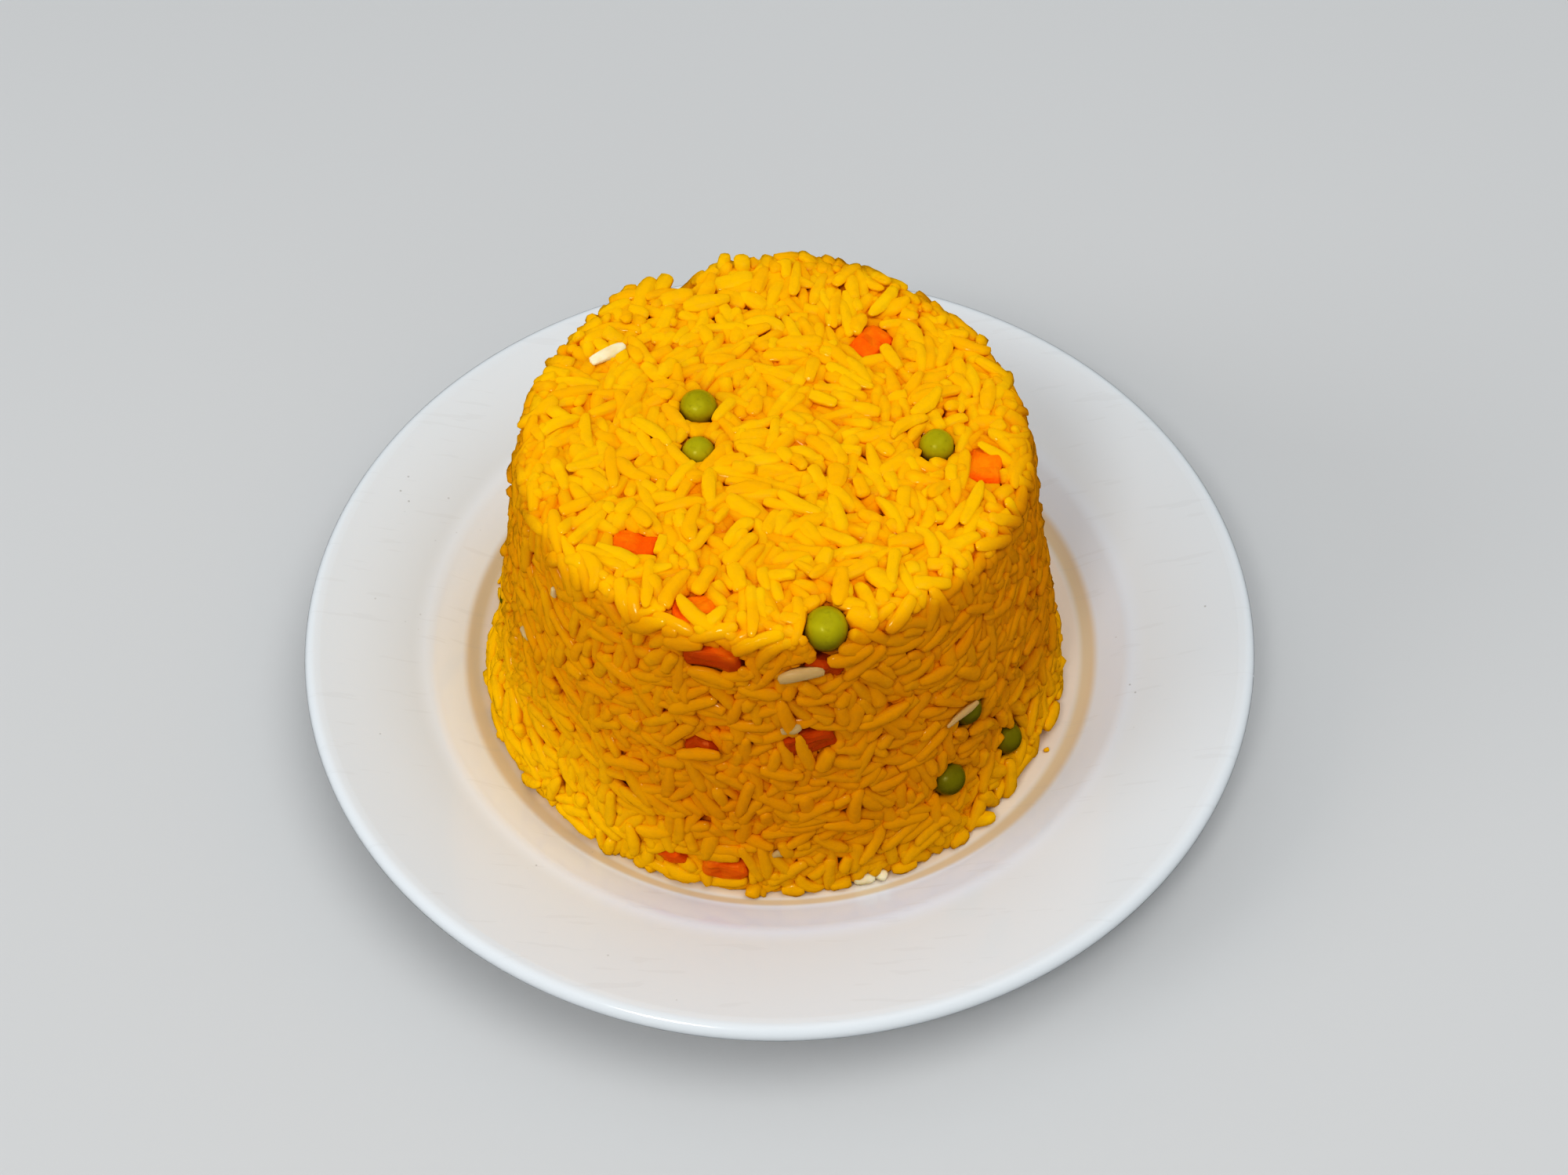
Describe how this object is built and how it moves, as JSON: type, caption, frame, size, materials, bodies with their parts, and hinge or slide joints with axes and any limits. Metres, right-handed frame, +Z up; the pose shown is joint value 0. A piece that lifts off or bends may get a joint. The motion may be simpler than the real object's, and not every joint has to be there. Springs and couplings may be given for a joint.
{
  "type": "moulded yellow rice on a plate",
  "caption": "Drum of moulded yellow rice with green peas and diced carrot, turned out onto a round white wide-rimmed plate with a rolled edge.",
  "frame": {"origin": "centre of the plate's foot ring on the table, which is the bottom centre of the whole part's box", "axes": "+Z up, -Y towards the diner who looks down on the rice, +X to the diner's right"},
  "size_m": [0.206, 0.206, 0.0832],
  "materials": {
    "white_glaze": "glossy white glaze",
    "yellow_rice": "moist cooked rice",
    "pea_skin": "shiny cooked pea skin",
    "carrot_flesh": "moist cooked carrot"
  },
  "bodies": {
    "root": {"plate": "white_glaze", "rice_mound": "yellow_rice", "pea_1": "pea_skin", "pea_2": "pea_skin", "pea_3": "pea_skin", "pea_4": "pea_skin", "pea_5": "pea_skin", "pea_6": "pea_skin", "pea_7": "pea_skin", "pea_8": "pea_skin", "pea_9": "pea_skin", "pea_10": "pea_skin", "pea_11": "pea_skin", "pea_12": "pea_skin", "carrot_1": "carrot_flesh", "carrot_2": "carrot_flesh", "carrot_3": "carrot_flesh", "carrot_4": "carrot_flesh", "carrot_5": "carrot_flesh", "carrot_6": "carrot_flesh", "carrot_7": "carrot_flesh", "carrot_8": "carrot_flesh", "carrot_9": "carrot_flesh", "carrot_10": "carrot_flesh", "carrot_11": "carrot_flesh", "carrot_12": "carrot_flesh", "carrot_13": "carrot_flesh", "carrot_14": "carrot_flesh"}
  },
  "joints": []
}
